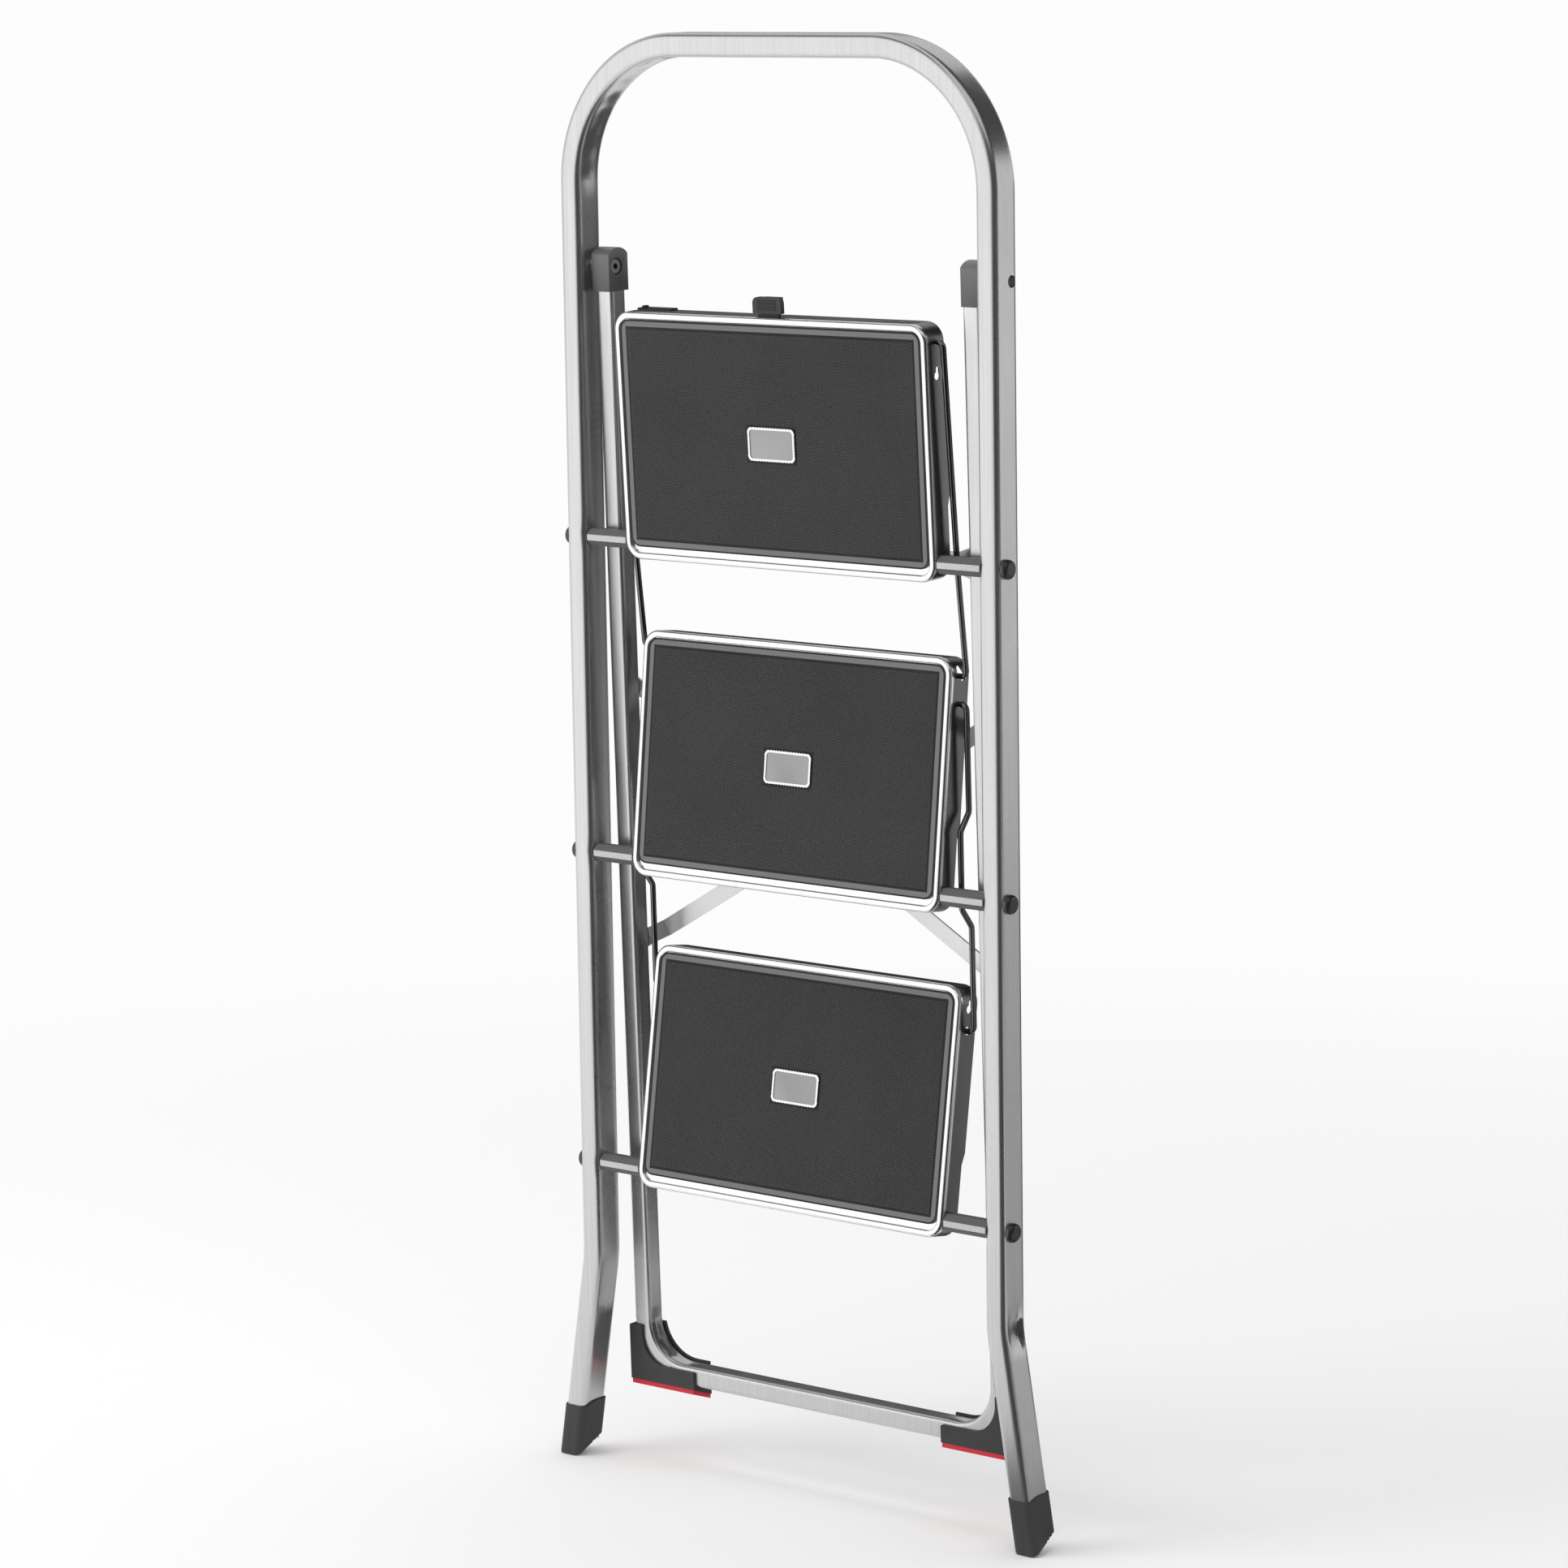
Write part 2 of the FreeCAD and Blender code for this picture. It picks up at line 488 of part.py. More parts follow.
top_slot = wire_slot("top", "middle", OPEN_TOP, OPEN_MIDDLE, HOLE_HIGH, WIRE_TOP)
low_slot = wire_slot("middle", "bottom", OPEN_MIDDLE, OPEN_BOTTOM, HOLE_LOW, WIRE_LOW)
hook_high = cross_rod(WIRE_RADIUS + 0.3, -200, 200, HOLE_Y, HOLE_HIGH)
hook_low = cross_rod(WIRE_RADIUS + 0.3, -200, 200, HOLE_Y, HOLE_LOW)
button_slot = box(-10.3, 10.3, PLATE_Y + 1.0, -1.5, STEP_ABOVE - 5, STEP_ABOVE + 5)
openings = {
    "top": [hook_high, keyhole(HOLE_LOW), button_slot],
    "middle": [top_slot, hook_low],
    "bottom": [keyhole(HOLE_HIGH), low_slot],
}
mat_z0 = -STEP_BELOW + RIM_WIDTH + MAT_FRONT_GAP
mat_z1 = STEP_ABOVE - RIM_WIDTH - MAT_BACK_GAP
mat_width = pan_width - 2 * (RIM_WIDTH + MAT_BACK_GAP)
mat_face = PLATE_Y - MAT_THICKNESS
badge_z = (STEP_ABOVE - STEP_BELOW) / 2
for name in AXLES:
    pan = step_pan()
    for opening in openings[name]:
        pan = pan.cut(opening)
    mat = upright_plate(mat_width, mat_z0, mat_z1, 8.0, mat_face, PLATE_Y)
    badge = upright_plate(BADGE[0], badge_z - BADGE[1] / 2, badge_z + BADGE[1] / 2, BADGE[3],
                          mat_face - BADGE[2], mat_face)
    parts["step_" + name] = raise_step(pan, name)
    parts["mat_" + name] = raise_step(mat, name)
    parts["badge_" + name] = raise_step(badge, name)

# ------------------------------------------ latch button, its guide and its spring
guide_low = 132.0
tab_low = 180.4
tab = upright_plate(27.0, tab_low - 6, 192.6, 4.5, -5.9, -1.5).common(
    box(-20, 20, -10, 10, tab_low, 200))
saddle = box(-8, 8, -1.5, 4.3, 181.4, 192.0)
stem = box(-10, 10, -4.2, -1.8, 155.0, tab_low)
plate = box(-10, 10, -4.2, 6.0, 152.6, 155.0)
post = rod(1.6, Vector(0, 1.6, 146.0), Vector(0, 1.6, 153.0))
button = tab.fuse([saddle, stem, plate, post]).removeSplitter()
guide = box(-13, 13, PLATE_Y + 1.0, 8.0, guide_low, 162.0)
guide = guide.cut(box(-10.4, 10.4, PLATE_Y + 1.0, 6.4, 137.0, 170.0))
guide = guide.cut(box(-7, 7, 5, 9, 140, 162))
turns = Part.makeHelix(2.4, 11.6, 3.1)
turns.translate(Vector(0, 1.6, 140.4))
ring = Part.Wire(Part.makeCircle(0.5, turns.Edges[0].valueAt(0),
                                 turns.Edges[0].tangentAt(0)))
spring = Part.Wire(turns.Edges).makePipeShell([ring], True, True)
parts["latch_button"] = raise_step(button, "top")
parts["latch_guide"] = raise_step(guide, "top")
parts["latch_spring"] = raise_step(spring, "top")

# ------------------------------------- anti-rattle strip on the top step's rear edge
strip = box(-136, -103, 4.5, 13.0, STEP_ABOVE, STEP_ABOVE + 1.6)
stud = rod(2.6, Vector(-131.5, 8.7, STEP_ABOVE + 1.6), Vector(-131.5, 8.7, STEP_ABOVE + 3.0))
parts["edge_strip"] = raise_step(strip.fuse(stud), "top")


# ---------------------------------------------------------------------- link wires
def link_wire(upper, lower, opening, hole_z, wire, jogs):
    """A round wire with both ends hooked inwards; jogs are (share, offset) pairs."""
    top, bottom = wire_ends(0, upper, lower, opening, hole_z, wire)
    inner = Vector(STEP_HALF - 8, 0, 0)
    outer = Vector(WIRE_X, 0, 0)
    run = bottom - top
    forward = run.cross(X_AXIS).normalize()
    points = [top + inner, top + outer]
    for share, offset in jogs:
        points.append(top + outer + run * share + forward * offset)
    points += [bottom + outer, bottom + inner]
    radii = [WIRE_BEND] + [6.0] * len(jogs) + [WIRE_BEND]
    path = rounded_path(points, radii)
    section = Part.Wire(Part.makeCircle(WIRE_RADIUS, points[0], X_AXIS))
    return path.makePipeShell([section], True, False)


top_jogs = [(0.64, 1.6), (0.70, 1.6)]
low_jogs = [(0.325, 0.0), (0.378, 11.0), (0.615, 11.5), (0.675, 0.0)]
top_wire = link_wire("top", "middle", OPEN_TOP, HOLE_HIGH, WIRE_TOP, top_jogs)
low_wire = link_wire("middle", "bottom", OPEN_MIDDLE, HOLE_LOW, WIRE_LOW, low_jogs)
parts["wire_top_right"] = top_wire
parts["wire_top_left"] = mirrored(top_wire)
parts["wire_low_right"] = low_wire
parts["wire_low_left"] = mirrored(low_wire)

os.makedirs("parts", exist_ok=True)
for name, shape in parts.items():
    shape.exportStep("parts/" + name + ".step")
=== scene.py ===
import math

import bpy
from mathutils import Matrix, Vector


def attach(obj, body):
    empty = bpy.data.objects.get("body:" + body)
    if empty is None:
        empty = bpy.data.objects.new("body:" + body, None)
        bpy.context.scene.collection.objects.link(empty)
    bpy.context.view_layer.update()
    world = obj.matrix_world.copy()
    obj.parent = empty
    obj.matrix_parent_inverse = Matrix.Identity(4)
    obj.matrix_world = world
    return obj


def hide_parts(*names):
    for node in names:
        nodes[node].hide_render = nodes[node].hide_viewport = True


# Folding three-step stool, in metres: X runs across it, the treads face -Y, +Z is up.
# The file goes round the stool in the order that it is put together.
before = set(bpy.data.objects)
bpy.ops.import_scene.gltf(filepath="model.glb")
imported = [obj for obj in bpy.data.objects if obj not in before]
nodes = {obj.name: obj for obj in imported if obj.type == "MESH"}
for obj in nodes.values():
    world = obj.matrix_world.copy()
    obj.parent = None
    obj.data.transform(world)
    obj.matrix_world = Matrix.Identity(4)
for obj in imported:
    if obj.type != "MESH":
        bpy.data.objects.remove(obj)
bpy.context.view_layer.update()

# ------------------------------------------------------------------ floor and light
# A plain pale floor, a white studio round it, and the lights and black cards that
# give satin metal its bright faces and dark edges.
bpy.ops.object.select_all(action="DESELECT")
bpy.ops.mesh.primitive_plane_add(size=30, location=(0, 0, -0.0005))
floor = bpy.context.object
floor.name = "studio_floor"
floor_paint = bpy.data.materials.new("floor_paint")
floor_paint.use_nodes = True
floor_tree = floor_paint.node_tree.nodes
floor_link = floor_paint.node_tree.links.new
floor_shader = floor_tree["Principled BSDF"]
floor_shader.inputs["Base Color"].default_value = (0.94, 0.94, 0.94, 1)
floor_shader.inputs["Roughness"].default_value = 0.9
floor_shader.inputs["Specular IOR Level"].default_value = 0.0
# Between these distances from the stool the floor turns to plain light, so it has no far edge.
fade_start, fade_end = 0.5, 2.4
studio_white = 0.98
floor_place = floor_tree.new("ShaderNodeTexCoord")
floor_reach = floor_tree.new("ShaderNodeVectorMath")
floor_reach.operation = "LENGTH"
floor_link(floor_place.outputs["Object"], floor_reach.inputs[0])
floor_fade = floor_tree.new("ShaderNodeMapRange")
floor_fade.interpolation_type = "SMOOTHSTEP"
floor_fade.inputs["From Min"].default_value = fade_start
floor_fade.inputs["From Max"].default_value = fade_end
floor_link(floor_reach.outputs["Value"], floor_fade.inputs["Value"])
floor_glow = floor_tree.new("ShaderNodeEmission")
floor_glow.inputs["Strength"].default_value = studio_white
floor_blend = floor_tree.new("ShaderNodeMixShader")
floor_link(floor_fade.outputs["Result"], floor_blend.inputs["Fac"])
floor_link(floor_shader.outputs["BSDF"], floor_blend.inputs[1])
floor_link(floor_glow.outputs["Emission"], floor_blend.inputs[2])
floor_link(floor_blend.outputs["Shader"], floor_tree["Material Output"].inputs["Surface"])
floor.data.materials.append(floor_paint)

bpy.ops.object.select_all(action="DESELECT")
bpy.ops.mesh.primitive_uv_sphere_add(segments=48, ring_count=24, radius=14)
backdrop = bpy.context.object
backdrop.name = "studio_backdrop"
backdrop_glow = bpy.data.materials.new("backdrop_glow")
backdrop_glow.use_nodes = True
backdrop_shader = backdrop_glow.node_tree.nodes["Principled BSDF"]
backdrop_shader.inputs["Base Color"].default_value = (0, 0, 0, 1)
backdrop_shader.inputs["Specular IOR Level"].default_value = 0.0
backdrop_shader.inputs["Emission Color"].default_value = (1, 1, 1, 1)
backdrop_shader.inputs["Emission Strength"].default_value = studio_white
backdrop.data.materials.append(backdrop_glow)
backdrop.visible_diffuse = False
backdrop.visible_glossy = False
backdrop.visible_shadow = False

studio = bpy.data.worlds.new("studio")
studio.use_nodes = True
studio.node_tree.nodes["Background"].inputs["Color"].default_value = (1, 1, 1, 1)
studio.node_tree.nodes["Background"].inputs["Strength"].default_value = 0.72
bpy.context.scene.world = studio


def soft_panel(name, place, aim, width, height, power):
    """A rectangular softbox that faces a point."""
    bpy.ops.object.light_add(type="AREA", location=place)
    panel = bpy.context.object
    panel.name = name
    panel.data.shape = "RECTANGLE"
    panel.data.size = width
    panel.data.size_y = height
    panel.data.energy = power
    panel.rotation_euler = (Vector(aim) - Vector(place)).to_track_quat("-Z", "Y").to_euler()
    panel.visible_glossy = False


soft_panel("front_left_softbox", (-2.5, -2.9, 1.85), (0, 0, 0.85), 2.2, 1.9, 54)
soft_panel("top_softbox", (-0.5, -0.3, 3.3), (0, 0, 0.8), 2.0, 2.0, 24)
soft_panel("right_back_softbox", (2.9, 2.9, 0.7), (0, 0, 0.5), 1.6, 1.4, 6)


def card(name, place, aim, width, height, shade, glow=0.0):
    """A card that only reflections show: a dark one, or a bright one that glows."""
    bpy.ops.object.select_all(action="DESELECT")
    bpy.ops.mesh.primitive_plane_add(size=1)
    sheet = bpy.context.object
    sheet.name = name
    sheet.scale = (width, height, 1)
    sheet.rotation_euler = (Vector(aim) - Vector(place)).to_track_quat("Z", "Y").to_euler()
    sheet.location = place
    paint = bpy.data.materials.new(name + "_paint")
    paint.use_nodes = True
    shader = paint.node_tree.nodes["Principled BSDF"]
    shader.inputs["Base Color"].default_value = (shade, shade, shade, 1)
    shader.inputs["Roughness"].default_value = 1.0
    shader.inputs["Emission Color"].default_value = (1, 1, 1, 1)
    shader.inputs["Emission Strength"].default_value = glow
    sheet.data.materials.append(paint)
    sheet.visible_camera = False
    sheet.visible_diffuse = False
    sheet.visible_shadow = False


def floor_card(name, x, y, lift, width, height, shade, glow=0.0):
    """A card that lies on the floor, face up."""
    card(name, (x, y, lift), (x, y, 1), width, height, shade, glow)


# The front faces mirror the glowing cards, and the right-hand faces mirror the pale ones.
card("front_glow_card", (-2.5, -2.9, 1.45), (0, 0, 1.45), 2.6, 2.9, 0.0, 1.28)
floor_card("front_floor_glow_card", -1.90, -2.35, 0.002, 1.9, 2.0, 0.0, 1.25)
card("side_card", (2.3, 2.6, 0.9), (0, 0, 0.9), 2.6, 2.6, 0.85)
# The black cards draw the dark line along each rounded corner and shade the inner faces.
card("back_corner_card", (2.6, 0.95, 1.0), (0, 0, 1.0), 1.0, 2.6, 0.01)
card("upper_side_card", (1.0, 0.9, 1.80), (0.2, 0, 1.08), 2.2, 0.95, 0.01)
card("overhead_card", (0.45, 0.40, 2.3), (0.2, 0, 1.08), 1.2, 1.1, 0.01)
card("upper_front_card", (-1.5, -1.8, 3.3), (0, 0, 1.08), 3.2, 1.3, 0.02)
card("corner_card", (3.0, -2.3, 1.2), (0, 0, 0.8), 8.4, 3.6, 0.01)
card("inner_card", (0.12, 0.58, 0.515), (-0.2, 0, 0.515), 0.60, 1.02, 0.01)
card("back_left_card", (-2.0, 2.5, 0.8), (0, 0, 0.8), 2.6, 2.4, 0.02)
floor_card("inner_floor_card", -0.02, 0.30, 0.005, 0.30, 0.46, 0.15)
floor_card("corner_floor_card", 3.06, -3.05, 0.003, 6.0, 6.0, 0.01)
floor_card("side_floor_card", 2.3, 2.35, 0.002, 4.0, 4.3, 0.5)
floor_card("kink_card", 0.36, 0.14, 0.004, 0.26, 0.26, 0.01)

bpy.ops.object.camera_add()
camera = bpy.context.object
camera.name = "studio_camera"
camera.data.lens = 123.0
camera.data.sensor_width = 36.0
camera.data.clip_end = 60
camera_place = (2.5379, -3.1168, 1.2113)
camera_turn, camera_dip, camera_roll = 39.315, 9.204, -0.865
camera.matrix_world = (Matrix.Translation(camera_place)
                       @ Matrix.Rotation(math.radians(camera_turn), 4, "Z")
                       @ Matrix.Rotation(math.radians(90 - camera_dip), 4, "X")
                       @ Matrix.Rotation(math.radians(camera_roll), 4, "Z"))
bpy.context.scene.camera = camera
bpy.context.scene.view_settings.view_transform = "Standard"


# ---------------------------------------------------------------------- front frame
# One length of rounded rectangular steel tube, bent to an inverted U with its feet
# splayed and sprayed satin silver. The bender leaves flats and dents inside its bends,
# and the pivot rivets pass through a hole drilled in each leg.
def surface_grain():
    """Node group: fine grain, drawn streaks, broad mottle and worn edges, each 0 to 1."""
    group = bpy.data.node_groups.new("surface grain", "ShaderNodeTree")
    add_socket = group.interface.new_socket
    for socket, default in (("Grain Scale", 900.0), ("Streak Scale", 60.0)):
        given_socket = add_socket(socket, in_out="INPUT", socket_type="NodeSocketFloat")
        given_socket.default_value = default
    for socket in ("Grain", "Streaks", "Mottle", "Edge"):
        add_socket(socket, in_out="OUTPUT", socket_type="NodeSocketFloat")
    tree = group.nodes
    link = group.links.new
    given = tree.new("NodeGroupInput")
    out = tree.new("NodeGroupOutput")
    place = tree.new("ShaderNodeTexCoord")
    grain = tree.new("ShaderNodeTexNoise")
    grain.inputs["Detail"].default_value = 3.0
    link(place.outputs["Object"], grain.inputs["Vector"])
    link(given.outputs["Grain Scale"], grain.inputs["Scale"])
    link(grain.outputs["Fac"], out.inputs["Grain"])
    stretch = tree.new("ShaderNodeMapping")
    stretch.inputs["Scale"].default_value = (8.0, 8.0, 0.12)
    streaks = tree.new("ShaderNodeTexNoise")
    streaks.inputs["Detail"].default_value = 2.0
    link(place.outputs["Object"], stretch.inputs["Vector"])
    link(stretch.outputs["Vector"], streaks.inputs["Vector"])
    link(given.outputs["Streak Scale"], streaks.inputs["Scale"])
    link(streaks.outputs["Fac"], out.inputs["Streaks"])
    mottle = tree.new("ShaderNodeTexNoise")
    mottle.inputs["Scale"].default_value = 14.0
    mottle.inputs["Detail"].default_value = 5.0
    link(place.outputs["Object"], mottle.inputs["Vector"])
    link(mottle.outputs["Fac"], out.inputs["Mottle"])
    shape = tree.new("ShaderNodeNewGeometry")
    worn = tree.new("ShaderNodeMapRange")
    worn.inputs["From Min"].default_value = 0.52
    worn.inputs["From Max"].default_value = 0.62
    link(shape.outputs["Pointiness"], worn.inputs["Value"])
    link(worn.outputs["Result"], out.inputs["Edge"])
    return group


grain_group = surface_grain()


def finish(name, colour, other, worn, metallic, rough, grain, streak=60.0, bump=0.1,
           depth=0.00005, by="Grain", share=0.5, specular=0.5):
    """A finish that varies with the surface grain.

    The colour runs from one to the other by a share of the pattern named, and to the worn
    colour at the edges. The roughness keeps between the two given, and the relief is as
    strong as bump and as deep as depth, in metres.
    """
    material = bpy.data.materials.new(name)
    material.use_nodes = True
    tree = material.node_tree.nodes
    link = material.node_tree.links.new
    shader = tree["Principled BSDF"]
    shader.inputs["Metallic"].default_value = metallic
    shader.inputs["Specular IOR Level"].default_value = specular
    surface = tree.new("ShaderNodeGroup")
    surface.node_tree = grain_group
    surface.name = "grain"
    surface.inputs["Grain Scale"].default_value = grain
    surface.inputs["Streak Scale"].default_value = streak
    tone = tree.new("ShaderNodeMix")
    tone.data_type = "RGBA"
    tone.name = "tone"
    tone.inputs["A"].default_value = (*colour, 1)
    tone.inputs["B"].default_value = (*other, 1)
    spread = tree.new("ShaderNodeMapRange")
    spread.inputs["From Min"].default_value = 0.5 - share / 2
    spread.inputs["From Max"].default_value = 0.5 + share / 2
    link(surface.outputs[by], spread.inputs["Value"])
    link(spread.outputs["Result"], tone.inputs["Factor"])
    edge = tree.new("ShaderNodeMix")
    edge.data_type = "RGBA"
    edge.name = "edge"
    edge.inputs["B"].default_value = (*worn, 1)
    link(surface.outputs["Edge"], edge.inputs["Factor"])
    link(tone.outputs["Result"], edge.inputs["A"])
    link(edge.outputs["Result"], shader.inputs["Base Color"])
    gloss = tree.new("ShaderNodeMapRange")
    gloss.name = "gloss"
    gloss.inputs["From Min"].default_value = 0.3
    gloss.inputs["From Max"].default_value = 0.7
    gloss.inputs["To Min"].default_value = rough[0]
    gloss.inputs["To Max"].default_value = rough[1]
    link(surface.outputs["Mottle"], gloss.inputs["Value"])
    link(gloss.outputs["Result"], shader.inputs["Roughness"])
    relief = tree.new("ShaderNodeBump")
    relief.name = "relief"
    relief.inputs["Strength"].default_value = bump
    relief.inputs["Distance"].default_value = depth
    link(surface.outputs["Grain"], relief.inputs["Height"])
    link(relief.outputs["Normal"], shader.inputs["Normal"])
    return material


def wear(piece, material):
    """Gives a piece one finish all over."""
    piece.data.materials.clear()
    piece.data.materials.append(material)


satin_silver = finish("satin_silver_paint", (0.66, 0.66, 0.66), (0.56, 0.56, 0.565),
                      (0.80, 0.80, 0.80), 0.94, (0.25, 0.32), 2600.0, 70.0, 0.14, 0.00003,
                      "Streaks", 0.7)
front_across, front_deep, front_corner = 0.0183, 0.0270, 0.0042
tube_y = -0.0106
top_z = 1.11685
bend_x, bend_z = 0.095, 1.012
leg_straight, leg_lower = 0.7962, 0.04024
splay_angle, splay_centre = 9.3, (0.31985, tube_y, 0.17576)
splay_run, foot_run = (0.0048, 0, -0.0293), (0.0190, 0, -0.1160)
# Each step's axle height, and how far the folded step leans from upright, in degrees.
axles = {"top": (0.739, -3.0), "middle": (0.491, 6.3), "bottom": (0.243, 8.7)}
pivot = (0, -0.0042, 0.9477)
pivot_hole, drill_x, drill_length = 0.0046, 0.2062, 0.012
# An edge of a tube's end longer than this is one of its four flat sides.
shortest_side = 0.005
# Points closer than this are one point, and bends gentler than this many degrees are smooth.
seam, smooth_under = 0.00002, 62


def tube_end(name, across, depth, corner, place, turn):
    """The rounded rectangular end of a tube, as a ring of edges to draw out."""
    bpy.ops.object.select_all(action="DESELECT")
    bpy.ops.mesh.primitive_plane_add(size=1)
    tube = bpy.context.object
    tube.name = name
    tube.scale = (across, depth, 1)
    tube.rotation_euler = turn
    tube.location = place
    bpy.ops.object.transform_apply(location=True, rotation=True, scale=True)
    bpy.ops.object.mode_set(mode="EDIT")
    bpy.ops.mesh.select_all(action="SELECT")
    bpy.ops.mesh.bevel(offset=corner, segments=4, affect="VERTICES")
    bpy.ops.mesh.delete(type="ONLY_FACE")
    bpy.ops.object.mode_set(mode="OBJECT")
    for edge in tube.data.edges:
        ends = [tube.data.vertices[index].co for index in edge.vertices]
        edge.select = (ends[0] - ends[1]).length > shortest_side
    bpy.ops.object.mode_set(mode="EDIT")
    bpy.ops.mesh.select_mode(type="EDGE")
    bpy.ops.mesh.subdivide(number_cuts=7)
    bpy.ops.mesh.select_all(action="SELECT")
    return tube


def draw_out(steps, move):
    """Draws the selected ring out in equal steps."""
    stride = [part / steps for part in move]
    for _ in range(steps):
        bpy.ops.mesh.extrude_region_move(TRANSFORM_OT_translate={"value": stride})


def press(tube, spot, depth, reach):
    """Presses the tube wall in at a spot, fading out over the reach."""
    bpy.ops.object.mode_set(mode="EDIT")
    bpy.ops.mesh.select_mode(type="VERT")
    bpy.ops.mesh.select_all(action="DESELECT")
    bpy.ops.object.mode_set(mode="OBJECT")
    nearest = min(tube.data.vertices, key=lambda point: (point.co - Vector(spot)).length)
    nearest.select = True
    bpy.ops.object.mode_set(mode="EDIT")
    bpy.ops.transform.translate(value=depth, use_proportional_edit=True,
                                proportional_edit_falloff="SMOOTH", proportional_size=reach)
    bpy.ops.object.mode_set(mode="OBJECT")


def close_tube(tube):
    """Mirrors the half tube, caps its open ends and turns its faces outwards."""
    half = tube.modifiers.new("other_half", "MIRROR")
    half.use_clip = True
    half.merge_threshold = seam
    bpy.ops.object.modifier_apply(modifier=half.name)
    bpy.ops.object.mode_set(mode="EDIT")
    bpy.ops.mesh.select_mode(type="VERT")
    bpy.ops.mesh.select_all(action="SELECT")
    bpy.ops.mesh.remove_doubles(threshold=seam)
    bpy.ops.mesh.select_non_manifold()
    bpy.ops.mesh.fill_holes(sides=0)
    bpy.ops.mesh.select_all(action="SELECT")
    bpy.ops.mesh.normals_make_consistent(inside=False)
    bpy.ops.object.mode_set(mode="OBJECT")
    bpy.ops.object.shade_smooth_by_angle(angle=math.radians(smooth_under))


front_tube = tube_end("front_tube", front_across, front_deep, front_corner,
                      (0, tube_y, top_z), (0, math.pi / 2, 0))
draw_out(12, (bend_x, 0, 0))
bpy.ops.mesh.spin(steps=32, angle=-math.pi / 2, center=(bend_x, tube_y, bend_z), axis=(0, 1, 0))
draw_out(112, (0, 0, -leg_straight))
draw_out(16, (0, 0, -leg_lower))
bpy.ops.mesh.spin(steps=9, angle=math.radians(splay_angle), center=splay_centre, axis=(0, 1, 0))
draw_out(8, splay_run)
draw_out(8, foot_run)
bpy.ops.object.mode_set(mode="OBJECT")

# Nine flats inside each top bend, and a small dent in the leg's inner front corner at
# the height of each axle.
inner_radius = top_z - front_across / 2 - bend_z
flat_press, flat_reach = 0.0012, 0.011
axle_dent_x, axle_dent_y = 0.1923, tube_y - 0.0122
axle_dent, axle_dent_reach = (0.0013, 0.0004, 0), 0.013
for step in range(9):
    angle = math.radians(4 + 82 * step / 8)
    outward = Vector((math.sin(angle), 0, math.cos(angle)))
    spot = Vector((bend_x, tube_y, bend_z)) + outward * inner_radius
    press(front_tube, spot, outward * flat_press, flat_reach)
for height, lean in axles.values():
    press(front_tube, (axle_dent_x, axle_dent_y, height), axle_dent, axle_dent_reach)

# The kink that the splay leaves on the outer face: each row of points in it moves
# inwards and turns, most at the deepest row.
dent_top, dent_deepest, dent_low = 0.196, 0.166, 0.149
dent_depth, dent_turn = 0.0032, 13
dent_half_width = 0.0082
outer_face, outer_line = 0.2, 0.2058


def in_dent(point):
    """Whether a point of the tube lies on the outer flat that the kink dents."""
    return point.co.x > outer_face and abs(point.co.y - tube_y) < dent_half_width


levels = {round(point.co.z, 5) for point in front_tube.data.vertices
          if in_dent(point) and dent_low < point.co.z < dent_top}
for level in sorted(levels):
    if level > dent_deepest:
        share = ((dent_top - level) / (dent_top - dent_deepest)) ** 1.5
    else:
        share = (level - dent_low) / (dent_deepest - dent_low)
    bpy.ops.object.mode_set(mode="EDIT")
    bpy.ops.mesh.select_all(action="DESELECT")
    bpy.ops.object.mode_set(mode="OBJECT")
    for point in front_tube.data.vertices:
        point.select = in_dent(point) and abs(point.co.z - level) < seam
    bpy.ops.object.mode_set(mode="EDIT")
    bpy.ops.transform.translate(value=(-dent_depth * share, 0, 0))
    bpy.ops.transform.rotate(value=math.radians(-dent_turn * share), orient_axis="Z",
                             center_override=(outer_line, tube_y, level))
    bpy.ops.object.mode_set(mode="OBJECT")
close_tube(front_tube)

for side in (1, -1):
    bpy.ops.mesh.primitive_cylinder_add(vertices=32, radius=pivot_hole, depth=drill_length,
                                        location=(side * drill_x, pivot[1], pivot[2]),
                                        rotation=(0, math.pi / 2, 0))
    drill = bpy.context.object
    bpy.ops.object.select_all(action="DESELECT")
    bpy.context.view_layer.objects.active = front_tube
    front_tube.select_set(True)
    cut = front_tube.modifiers.new("pivot_hole", "BOOLEAN")
    cut.object = drill
    cut.solver = "EXACT"
    bpy.ops.object.modifier_apply(modifier=cut.name)
    bpy.data.objects.remove(drill)
wear(front_tube, satin_silver)
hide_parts("frame_top", "frame_bend_left", "frame_bend_right",
            "frame_leg_left", "frame_leg_right")
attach(front_tube, "front")

# ----------------------------------------------------------------------- front feet
# Charcoal plastic caps pressed over the tube ends, with soles cut at the slant that
# lies flat on the floor once the stool is open.
charcoal = finish("charcoal_plastic", (0.010, 0.010, 0.0105), (0.018, 0.018, 0.0185),
                  (0.05, 0.05, 0.052), 0.0, (0.42, 0.55), 1500.0, 60.0, 0.35, 0.00008,
                  "Mottle", 0.6, 0.22)
for side in ("left", "right"):
    wear(nodes["front_foot_" + side], charcoal)

